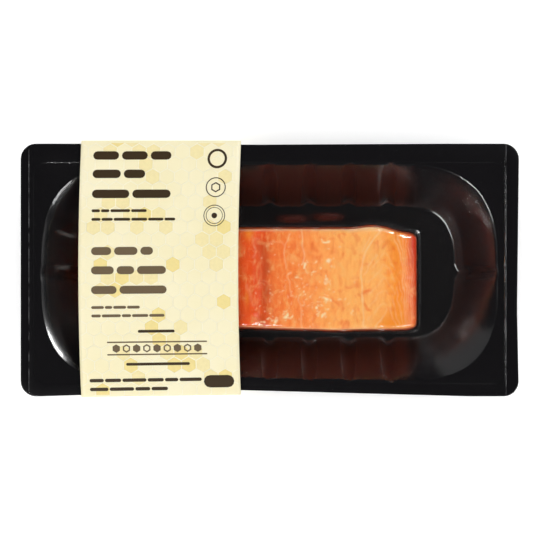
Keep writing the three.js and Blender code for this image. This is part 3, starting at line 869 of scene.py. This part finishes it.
# %% Clear skin film and its cut edge
def clear_skin_film():
    material, tree, place = new_material("clear_skin_film")
    normal = bump(tree, noise(tree, place, 5, 2.0), 0.3, 0.15)
    facing = add(tree, "ShaderNodeLayerWeight", {"Blend": 0.5, "Normal": normal}).outputs["Facing"]
    mirrored = maths(tree, "MULTIPLY_ADD", maths(tree, "POWER", facing, 5.0), 0.96, 0.04)
    clear = add(tree, "ShaderNodeBsdfTransparent").outputs["BSDF"]
    mirror = add(tree, "ShaderNodeBsdfAnisotropic", {
        "Color": linear("#ffffff"), "Roughness": 0.18, "Normal": normal}).outputs["BSDF"]
    surface = mixed_surface(tree, mirrored, clear, mirror)
    # The brown tint is a painted reflection of the fillet; the grey one is faint haze near the floor and
    # painted highlights.
    for name, tint, most in (("painted_fillet_reflection", "#45180f", 0.85), ("haze_and_painted_highlights", "#8f8a86", 0.5)):
        amount = maths(tree, "MULTIPLY", attribute(tree, name), most)
        surface = mixed_surface(tree, amount, surface, principled(tree, linear(tint), 0.3))
    return finish_material(material, surface)


def cut_film_edge():
    material, tree, place = new_material("cut_film_edge")
    amount = remap(tree, noise(tree, place, 4, 2.0), 0.35, 0.7, 0.0, 0.1)
    clear = add(tree, "ShaderNodeBsdfTransparent").outputs["BSDF"]
    pale = principled(tree, linear("#d9dadd"), 0.3)
    return finish_material(material, mixed_surface(tree, amount, clear, pale))


def build_film():
    upper_cap, upper_rings, (columns, rows) = film_face(FILM_LIFT + FILM_THICKNESS)
    lower_cap, lower_rings, _ = film_face(FILM_LIFT)
    rings = [*upper_rings, *lower_rings[::-1]]
    points = np.concatenate([upper_cap, *rings, lower_cap])
    order = border_numbers(columns, rows)
    first = len(upper_cap) + np.arange(len(order))
    last = first + (len(rings) - 1) * len(order)
    under = len(upper_cap) + len(rings) * len(order)
    faces = np.concatenate([
        grid_faces(columns, rows), joined(order, first), strips(rings, len(upper_cap)),
        joined(last, under + order), grid_faces(columns, rows, under, down=True)])
    piece = make_piece("skin_film", points, faces.tolist(), clear_skin_film(), cut_film_edge(),
                       attributes=film_marks(*points.T))
    at_end = (points[:, 0] > FILM_RIGHT - CUT_EDGE) | (points[:, 0] < FILM_LEFT + CUT_EDGE)
    for polygon in piece.data.polygons:
        if all(at_end[n] for n in polygon.vertices):
            polygon.material_index = 1
    return piece


film = build_film()
finish_piece(film, "film", "film")

# %% [markdown]
# ## The card sleeve
# The sleeve is one strip of folding box board, glued into a band and slid over the tray. Its
# top bows up a little, its long folds are soft, and its sides slope in under the flange to a
# flat base. It is made as loops round the pack, one for each step along it, with the printed
# side out. The place of a point on the print is given by its distance along the band from the
# back fold, and by its distance from the left cut edge.

# %% Sleeve loops
SLEEVE_LEFT, SLEEVE_RIGHT = -94.3, -14.4
SLEEVE_WIDTH = SLEEVE_RIGHT - SLEEVE_LEFT
SLEEVE_BACK = 64.9
SLEEVE_FRONT = (-63.7, -62.5)
SLEEVE_BOTTOM = (-42.6, 39.6)
SLEEVE_BOW = 1.4
SLEEVE_CROWN = 1.1
SLEEVE_EDGE_DROP = 3.2
SLEEVE_TOP = sleeve_high[2] - SLEEVE_CROWN


def fold(before, corner, after, radius, steps=5):
    """The rounded corner of a path."""
    before, corner, after = (np.array(p, float) for p in (before, corner, after))
    a, b = before - corner, after - corner
    a, b = a / np.linalg.norm(a), b / np.linalg.norm(b)
    half = math.acos(float(np.clip(a @ b, -1, 1))) / 2
    reach = radius / math.tan(half)
    middle = corner + (a + b) / np.linalg.norm(a + b) * radius / math.sin(half)
    start, end = corner + a * reach - middle, corner + b * reach - middle
    total = math.pi - 2 * half
    return [middle + (start * math.sin(total * (1 - t)) + end * math.sin(total * t)) / math.sin(total)
            for t in np.linspace(0, 1, steps + 1)]


def sleeve_loop(front, inset):
    """The band's outline in Y and Z, from the back fold over the top to the front and round."""
    top = SLEEVE_TOP - inset
    near, far = front + inset, SLEEVE_BACK - inset
    corners = [(far, top), (near, top), (near, top - SLEEVE_EDGE_DROP), (SLEEVE_BOTTOM[0] + inset, inset),
               (SLEEVE_BOTTOM[1] - inset, inset), (far, top - SLEEVE_EDGE_DROP)]
    radii = [0.9, 0.9, 2.0, 1.2, 1.2, 2.0]
    straight_steps = [48, 2, 10, 20, 10, 2]
    path = []
    for k, corner in enumerate(corners):
        after, next_after = (k + 1) % 6, (k + 2) % 6
        bend = fold(corners[k - 1], corner, corners[after], max(0.35, radii[k] - inset))
        following = fold(corner, corners[after], corners[next_after], max(0.35, radii[after] - inset))
        line = np.linspace(0, 1, straight_steps[k] + 1)[1:-1, None]
        path += [*bend, *(bend[-1] * (1 - line) + following[0] * line)]
    path = np.array(path)
    middle, half = (near + far) / 2, (far - near) / 2
    on_top = path[:, 1] > top - 0.95
    path[:, 1] += np.where(on_top, SLEEVE_CROWN * np.maximum(0, 1 - ((path[:, 0] - middle) / half) ** 2), 0)
    return path


def along_band(path):
    closed = np.vstack([path, path[:1]])
    return np.concatenate([[0], np.cumsum(np.hypot(*np.diff(closed, axis=0).T))])


BAND = sleeve_loop(sum(SLEEVE_FRONT) / 2, 0)
BAND_PLACES = along_band(BAND)
BAND_LENGTH = BAND_PLACES[-1]
print(f"the card band is {BAND_LENGTH:.1f} mm round and {SLEEVE_WIDTH:.1f} mm wide")


def bowed(x, y):
    return x - SLEEVE_BOW * (1 - (y / SLEEVE_BACK) ** 2)


def draped(flat):
    """Points given as (from the left edge, along the band, above the card) laid on the sleeve."""
    flat = np.asarray(flat, float)
    share = flat[:, 0] / SLEEVE_WIDTH
    place = np.mod(flat[:, 1], BAND_LENGTH)
    left, right = (sleeve_loop(front, 0) for front in SLEEVE_FRONT)
    left, right, middle = (np.vstack([path, path[:1]]) for path in (left, right, BAND))
    tangent = np.gradient(middle, axis=0)
    tangent /= np.linalg.norm(tangent, axis=1)[:, None]
    y, z = (np.interp(place, BAND_PLACES, left[:, k]) * (1 - share)
            + np.interp(place, BAND_PLACES, right[:, k]) * share for k in (0, 1))
    ty, tz = (np.interp(place, BAND_PLACES, tangent[:, k]) for k in (0, 1))
    x = bowed(SLEEVE_LEFT + flat[:, 0], y)
    return np.column_stack([x, y + tz * flat[:, 2], z - ty * flat[:, 2]])


# %% [markdown]
# ## Printed card
# The band is white folding box board with a warm cream print on the outside and a satin
# varnish over it. The inside is bare board. The thin cut edges show the board's pulp, a
# little darker than the print.

# %% Card materials and the sleeve itself
def board(name, colours, roughness, speckle):
    material, tree, place = new_material(name)
    fibres = noise(tree, place, 0.5, 3.0)
    warmth = remap(tree, noise(tree, place, 30, 2.0), 0.3, 0.7, 0, 1)
    shade = mixed_colour(tree, warmth, linear(colours[0]), linear(colours[1]))
    return finish_material(material, principled(tree, shade, roughness, {
        "Normal": bump(tree, fibres, speckle, 0.05)}))


def build_sleeve():
    loops = []
    places = np.linspace(0, 1, 33)
    for inset, shares in ((0, places), (CARD, places[::-1])):
        for share in shares:
            front = SLEEVE_FRONT[0] * (1 - share) + SLEEVE_FRONT[1] * share
            path = sleeve_loop(front, inset)
            loops.append(np.column_stack([bowed(SLEEVE_LEFT + share * SLEEVE_WIDTH, path[:, 0]), path]))
    count = len(BAND)
    near, far = np.arange(count), (np.arange(count) + 1) % count
    faces, kinds = [], []
    for k in range(len(loops)):
        a, b = k * count, (k + 1) % len(loops) * count
        faces += np.stack([a + near, a + far, b + far, b + near], 1).tolist()
        kinds += [0 if k < 32 else 1 if k in (32, 65) else 2] * count
    piece = make_piece("card_sleeve", np.concatenate(loops), faces,
                       board("cream_printed_card", ("#ebe1b6", "#eee6c4"), 0.42, 0.1),
                       board("board_cut_edge", ("#d8cca8", "#e2d8ba"), 0.8, 0.5),
                       board("bare_folding_board", ("#dedbd0", "#e6e3da"), 0.75, 0.4))
    piece.data.polygons.foreach_set("material_index", kinds)
    return piece


sleeve = build_sleeve()
finish_piece(sleeve, "sleeve", "sleeve")

# %% [markdown]
# ## Honeycomb print
# The print's ground is a honeycomb of pale lines with some cells filled in gold. That is a
# pattern that follows a rule, so a small geometry-node tree lays it out flat: a grid of
# points with every other row moved by half a cell, three sides of a hexagon on each point,
# and a solid hexagon where seeded noise is high. The rows are spaced to divide the band's
# length evenly, so the pattern meets itself. The flat pattern is then laid on the sleeve.

# %% Honeycomb tree
INK_THICKNESS = 0.05
HONEYCOMB_ROWS = 2 * round(BAND_LENGTH / 6.24 / 2)
ROW_PITCH = BAND_LENGTH / HONEYCOMB_ROWS
CELL_RADIUS = ROW_PITCH / 1.5
CELL_WIDTH = CELL_RADIUS * math.sqrt(3)


def honeycomb_tree():
    """The tree that lays out the flat pattern, and the identifier of each of its inputs."""
    tree = bpy.data.node_groups.new("honeycomb", "GeometryNodeTree")
    wanted = {"Int": ("Rows", "Columns", "Seed"),
              "Float": ("Row Pitch", "Cell Width", "Cell Radius", "Line Width", "Ink", "Width"),
              "Material": ("Line Material", "Gold Material", "Deep Gold Material")}
    sockets = {}
    for kind, names in wanted.items():
        for name in names:
            socket = tree.interface.new_socket(name=name, in_out="INPUT", socket_type=f"NodeSocket{kind}")
            sockets[name] = socket.identifier
    tree.interface.new_socket(name="Geometry", in_out="OUTPUT", socket_type="NodeSocketGeometry")
    given = add(tree, "NodeGroupInput").outputs

    def calc(operation, *values):
        return maths(tree, operation, *values)

    def shape(kind, inputs, output="Geometry", **settings):
        return add(tree, f"GeometryNode{kind}", inputs, **settings).outputs[output]

    def compared(a, operation, b, first_input=0, data_type="FLOAT"):
        return add(tree, "FunctionNodeCompare", {first_input: a, first_input + 1: b},
                   data_type=data_type, operation=operation).outputs["Result"]

    def vector(**parts):
        return add(tree, "ShaderNodeCombineXYZ", parts).outputs[0]

    def on_each_cell(instance, **more):
        """Copies with a corner to the front and back, joined into one mesh."""
        inputs = {"Points": cells, "Instance": instance, "Rotation": (0, 0, math.pi / 6), **more}
        return shape("RealizeInstances", {"Geometry": shape("InstanceOnPoints", inputs, "Instances")})

    # The grid's points are numbered up each column, so the row is the number modulo the rows.
    grid = shape("MeshGrid", {
        "Size X": calc("MULTIPLY", calc("SUBTRACT", given["Columns"], 1), given["Cell Width"]),
        "Size Y": calc("MULTIPLY", calc("SUBTRACT", given["Rows"], 1), given["Row Pitch"]),
        "Vertices X": given["Columns"], "Vertices Y": given["Rows"]}, "Mesh")
    number = add(tree, "GeometryNodeInputIndex").outputs["Index"]
    odd = calc("MODULO", calc("MODULO", number, given["Rows"]), 2)
    half_cell = vector(X=calc("MULTIPLY", calc("MULTIPLY", odd, given["Cell Width"]), 0.5))
    cells = shape("SetPosition", {"Geometry": grid, "Offset": half_cell})
    place = add(tree, "GeometryNodeInputPosition").outputs["Position"]

    # Three neighbouring sides of each hexagon make the whole net, with no side drawn twice.
    circle = shape("MeshCircle", {"Vertices": 6, "Radius": given["Cell Radius"]}, "Mesh")
    fourth_on = compared(number, "GREATER_THAN", 2, 2, "INT")
    three = shape("DeleteGeometry", {"Geometry": circle, "Selection": fourth_on}, domain="EDGE")
    finer = shape("SubdivideMesh", {"Mesh": three, "Level": 2}, "Mesh")
    curve = shape("MeshToCurve", {"Mesh": finer}, "Curve")
    level = shape("SetCurveNormal", {"Curve": curve}, "Curve", mode="Z_UP")
    profile = shape("CurvePrimitiveQuadrilateral", {
        "Width": given["Line Width"], "Height": given["Line Width"]}, "Curve")
    tube = shape("CurveToMesh", {"Curve": level, "Profile Curve": profile, "Fill Caps": True}, "Mesh")
    split = add(tree, "ShaderNodeSeparateXYZ", {"Vector": place}).outputs
    thin = calc("MULTIPLY", split["Z"], calc("DIVIDE", given["Ink"], given["Line Width"]))
    flatter = vector(X=split["X"], Y=split["Y"], Z=thin)
    net = on_each_cell(shape("SetPosition", {"Geometry": tube, "Position": flatter}))
    from_middle = calc("ABSOLUTE", split["X"])
    half_width = calc("MULTIPLY", given["Width"], 0.5)
    beyond = compared(from_middle, "GREATER_THAN", half_width)
    trimmed = shape("DeleteGeometry", {"Geometry": net, "Selection": beyond})
    parts = [shape("SetMaterial", {"Geometry": trimmed, "Material": given["Line Material"]})]

    # Filled cells come in patches, where slow noise is high, and only whole cells are filled.
    patches = noise(tree, place, 26, 0.0)
    inset = calc("SUBTRACT", half_width, calc("MULTIPLY", given["Cell Width"], 0.5))
    whole = compared(from_middle, "LESS_THAN", inset)
    solid = shape("MeshCylinder", {
        "Vertices": 6, "Radius": calc("MULTIPLY", given["Cell Radius"], 0.93), "Depth": given["Ink"]},
        "Mesh", fill_type="TRIANGLE_FAN")
    solid = shape("SubdivideMesh", {"Mesh": solid, "Level": 1}, "Mesh")
    inks = ((0.47, 0.5, "Gold Material"), (0.54, 0.4, "Deep Gold Material"))
    for step, (least, chance, material) in enumerate(inks):
        seed = calc("ADD", given["Seed"], step)
        chosen = add(tree, "FunctionNodeRandomValue", {"Probability": chance, "Seed": seed},
                     data_type="BOOLEAN").outputs[3]
        for condition in (compared(patches, "GREATER_THAN", least), whole):
            both = {0: chosen, 1: condition}
            chosen = add(tree, "FunctionNodeBooleanMath", both, operation="AND").outputs[0]
        low = shape("SetPosition", {"Geometry": on_each_cell(solid, Selection=chosen),
                                    "Offset": (0, 0, -0.006 * MM * (2 - step))})
        parts.append(shape("SetMaterial", {"Geometry": low, "Material": given[material]}))
    everything = add(tree, "GeometryNodeJoinGeometry")
    for part in parts:
        tree.links.new(part, everything.inputs["Geometry"])
    add(tree, "NodeGroupOutput", {"Geometry": everything.outputs["Geometry"]})
    return tree, sockets


def ink(name, colour):
    """Printing ink under the card's satin varnish, a little uneven as ink on board is."""
    material, tree, place = new_material(name)
    value = remap(tree, noise(tree, place, 1.5, 2.0), 0, 1, 0.94, 1.06)
    shade = add(tree, "ShaderNodeHueSaturation", {"Color": linear(colour), "Value": value}).outputs["Color"]
    return finish_material(material, principled(tree, shade, 0.4))


def build_honeycomb():
    base = bpy.data.meshes.new("honeycomb_base")
    piece = bpy.data.objects.new("honeycomb_print", base)
    bpy.context.scene.collection.objects.link(piece)
    tree, sockets = honeycomb_tree()
    modifier = piece.modifiers.new("honeycomb", "NODES")
    modifier.node_group = tree
    values = {"Rows": HONEYCOMB_ROWS, "Columns": math.ceil(SLEEVE_WIDTH / CELL_WIDTH) + 2, "Seed": 7,
              "Row Pitch": ROW_PITCH * MM, "Cell Width": CELL_WIDTH * MM, "Cell Radius": CELL_RADIUS * MM,
              "Line Width": 0.4 * MM, "Ink": INK_THICKNESS * MM, "Width": (SLEEVE_WIDTH - 0.3) * MM,
              "Line Material": ink("pale_cream_ink", "#eee8cd"),
              "Gold Material": ink("light_gold_ink", "#e9dba4"),
              "Deep Gold Material": ink("gold_ink", "#e7d48d")}
    for name, value in values.items():
        modifier[sockets[name]] = value
    bpy.context.view_layer.update()
    flat = piece.evaluated_get(bpy.context.evaluated_depsgraph_get())
    mesh = bpy.data.meshes.new_from_object(flat)
    piece.modifiers.clear()
    piece.data = mesh
    points = np.empty(len(mesh.vertices) * 3, np.float32)
    mesh.vertices.foreach_get("co", points)
    points = points.reshape(-1, 3) / MM
    points[:, 0] += SLEEVE_WIDTH / 2
    points[:, 1] = (HONEYCOMB_ROWS - 1) * ROW_PITCH / 2 - points[:, 1]
    mesh.vertices.foreach_set("co", np.float32(draped(points) * MM).ravel())
    mesh.update()
    numbers = np.empty(len(mesh.polygons), np.int32)
    mesh.polygons.foreach_get("material_index", numbers)
    inks = [material for material in mesh.materials if material]
    numbers -= len(mesh.materials) - len(inks)
    mesh.materials.clear()
    for material in inks:
        mesh.materials.append(material)
    mesh.polygons.foreach_set("material_index", numbers)
    print(f"honeycomb_print: {len(mesh.vertices)} points, and faces of each ink: {np.bincount(numbers)}")
    return piece


honeycomb = build_honeycomb()
finish_piece(honeycomb, "sleeve")

# %% [markdown]
# ## Brown print
# The print is made of plain brown shapes: rows of bars as long as lines of words, three rings,
# a solid block and a stripe with hexagons. Each is a thin slab of ink, laid out flat by
# numbers and then draped.

# %% Bars, rings and hexagons
def slab(grid, closed=False):
    """A thin slab over a grid of flat points, whose last column may join its first."""
    grid = np.asarray(grid, float)
    rows, columns = grid.shape[:2]
    flat = grid.reshape(-1, 2)
    size = len(flat)
    points = np.vstack([np.column_stack([flat, np.full(size, z)]) for z in (INK_THICKNESS * 0.9, -0.02)])
    number = np.arange(size).reshape(rows, columns)
    if closed:
        number = np.hstack([number, number[:, :1]])
    a, b, c, d = number[:-1, :-1], number[:-1, 1:], number[1:, 1:], number[1:, :-1]
    top = np.stack([a, b, c, d], -1).reshape(-1, 4)
    if closed:
        loops = [number[0, :-1], number[-1, :-1][::-1]]
    else:
        loops = [border_numbers(columns, rows)]
    return points, np.vstack([top, top[:, ::-1] + size, *[joined(loop, loop + size) for loop in loops]])


def bar(left, top, length, height):
    """A bar with rounded ends."""
    turns = np.sin(np.linspace(-math.pi / 2, math.pi / 2, 7))
    ends = height / 2 * (1 - np.sqrt(1 - turns ** 2))
    across = np.linspace(0, 1, max(3, int(length / 4)))
    # The print's far edge is the band's start, so rows run backwards to keep faces upwards.
    return slab([[(left + e + (length - 2 * e) * a, top + height / 2 - t * height / 2) for a in across]
                 for t, e in zip(turns, ends)])


def circle_band(x, s, outer, inner, sides=40):
    """A ring, or with few sides a polygon, round a middle."""
    turn = np.arange(sides) * 2 * math.pi / sides
    return slab([[(x + r * math.sin(a), s + r * math.cos(a)) for a in turn] for r in (outer, inner)],
                closed=True)


def row_of_words(left, top, length, height, words, rng):
    """A line of bars with gaps, as long together as the line."""
    gap = 0.35 * height
    lengths = rng.uniform(0.6, 1.5, words)
    lengths *= (length - gap * (words - 1)) / lengths.sum()
    for size in lengths:
        yield bar(left, top, size, height)
        left += size + gap


def label_shapes():
    """The dark and the softer brown shapes of the label."""
    rng = np.random.default_rng(5)
    dark, soft = [], []
    for top, length, words in ((6.0, 39.1, 3), (15.2, 26.3, 2), (25.2, 39.3, 2)):
        dark += row_of_words(6.3, top, length, 4.2, words, rng)
    for top, length, words in ((35.0, 27.6, 4), (39.3, 41.9, 6)):
        dark += row_of_words(6.3, top, length, 1.4, words, rng)
    for top, length, words in ((53.8, 31.0, 3), (63.4, 37.5, 3), (73.2, 37.8, 2)):
        soft += row_of_words(6.3, top, length, 4.0, words, rng)
    for top, length, words in ((83.2, 24.3, 4), (87.4, 36.6, 5)):
        soft += row_of_words(6.3, top, length, 1.4, words, rng)
    dark.append(bar(29.4, 95.3, 18.4, 1.4))
    for top in (101.0, 107.2):
        soft.append(bar(13.8, top, 50.1, 0.7))
    for k in range(9):
        soft.append(circle_band(18.4 + 5.1 * k, 104.5, 2.1, 1.3 if k % 2 else 0.01, 6))
    dark.append(bar(23.1, 111.7, 31.9, 1.4))
    for top, length, words in ((119.5, 56.2, 6), (123.9, 39.1, 4)):
        dark += row_of_words(4.5, top, length, 1.7, words, rng)
    dark.append(bar(61.7, 118.4, 15.2, 6.2))
    dark += [circle_band(*band) for band in (
        (68.4, 9.7, 4.9, 3.7), (68.1, 24.1, 5.0, 4.5), (68.1, 24.1, 2.6, 1.9, 6),
        (67.7, 38.3, 5.4, 5.0), (67.7, 38.3, 4.2, 3.9), (67.7, 38.3, 1.4, 0.01))]
    return dark, soft


def print_piece(name, shapes, material):
    points, faces, first = [], [], 0
    for shape_points, shape_faces in shapes:
        points.append(draped(shape_points))
        faces += (shape_faces + first).tolist()
        first += len(shape_points)
    finish_piece(make_piece(name, np.concatenate(points), faces, material, smooth=False), "sleeve")


dark_shapes, soft_shapes = label_shapes()
print_piece("dark_brown_print", dark_shapes, ink("dark_brown_ink", "#33240c"))
print_piece("soft_brown_print", soft_shapes, ink("soft_brown_ink", "#65543c"))

# %% [markdown]
# ## Studio
# The pack is seen from straight above on white. Its flat black flange mirrors what is over the
# camera, so that must be dark. The five fills light the pack and don't show in its gloss. The
# other boxes light nothing matt and show only as reflections, each placed for one part of the
# tray. The walls slope at about 45 degrees and so mirror the fillet beside them, in brown.

# %% Floor, lights and camera
AIM = (0, 0, 0.01)
FILL_SIZE = (0.8, 1.0)
HIGHLIGHTS = {
    # place and size in metres, then power
    "left_front_box": ((-0.43, -0.41, 0.6), (0.25, 0.6), 5.5),
    "right_front_box": ((0.51, -0.545, 0.62), (0.24, 0.42), 2.4),
    "right_back_box": ((0.615, 0.41, 0.62), (0.24, 0.42), 8),
    "right_box": ((0.85, 0, 0.6), (0.3, 0.5), 0.15),
    "left_back_box": ((-0.6, 0.78, 0.42), (0.75, 1.3), 1.0),
    "low_right_back_box": ((0.7, 0.7, 0.24), (0.36, 0.5), 0.5),
    "low_right_front_box": ((0.7, -0.7, 0.24), (0.36, 0.5), 0.25),
}


def soft_box(name, place, size, power, in_gloss):
    """A soft box that either lights the pack or shows only as a reflection in its gloss."""
    data = bpy.data.lights.new(name, "AREA")
    data.shape = "RECTANGLE"
    data.size, data.size_y = size
    data.energy = power
    box = bpy.data.objects.new(name, data)
    bpy.context.scene.collection.objects.link(box)
    box.location = place
    away = [a - b for a, b in zip(place, AIM)]
    flat = math.hypot(away[0], away[1])
    box.rotation_euler = (0, math.atan2(flat, away[2]), math.atan2(away[1], away[0]))
    box.visible_glossy = in_gloss
    box.visible_diffuse = not in_gloss


def white_floor():
    material, tree, place = new_material("white_studio_floor")
    tone = remap(tree, noise(tree, place, 1000 / 6, 2.0), 0, 1, 0.93, 0.95)
    matt = add(tree, "ShaderNodeBsdfDiffuse", {"Color": tone}).outputs["BSDF"]
    glow = add(tree, "ShaderNodeEmission", {"Color": linear("#ffffff"), "Strength": 0.3}).outputs["Emission"]
    return finish_material(material, add(tree, "ShaderNodeAddShader", {0: matt, 1: glow}).outputs["Shader"])


FLOOR_HALF = 1500
corners = [(x * FLOOR_HALF, y * FLOOR_HALF, -0.1) for x, y in ((-1, -1), (1, -1), (1, 1), (-1, 1))]
floor = make_piece("studio_floor", corners, [(0, 1, 2, 3)], white_floor())

soft_box("overhead_fill", (0, 0, 1.3), (1.2, 1.2), 1.7, in_gloss=False)
for name, x, y, power in (("left", -1, 0, 8.5), ("right", 1, 0, 8.8), ("back", 0, 1, 7.1),
                          ("front", 0, -1, 9.2)):
    soft_box(f"{name}_fill", (x, y, 0.6), FILL_SIZE, power, in_gloss=False)
for name, (place, size, power) in HIGHLIGHTS.items():
    soft_box(name, place, size, power, in_gloss=True)

world = bpy.data.worlds.new("dim_studio")
bpy.context.scene.world = world
world.use_nodes = True
background = world.node_tree.nodes["Background"]
background.inputs["Color"].default_value = linear("#3a3b3e")
background.inputs["Strength"].default_value = 0.22

camera_data = bpy.data.cameras.new("camera")
camera_data.lens = 100
camera_data.sensor_width = 36
camera = bpy.data.objects.new("camera", camera_data)
camera.location = (0.1 * MM, 0, 0.7738)
bpy.context.scene.collection.objects.link(camera)
bpy.context.scene.camera = camera
bpy.context.scene.view_settings.view_transform = "Standard"
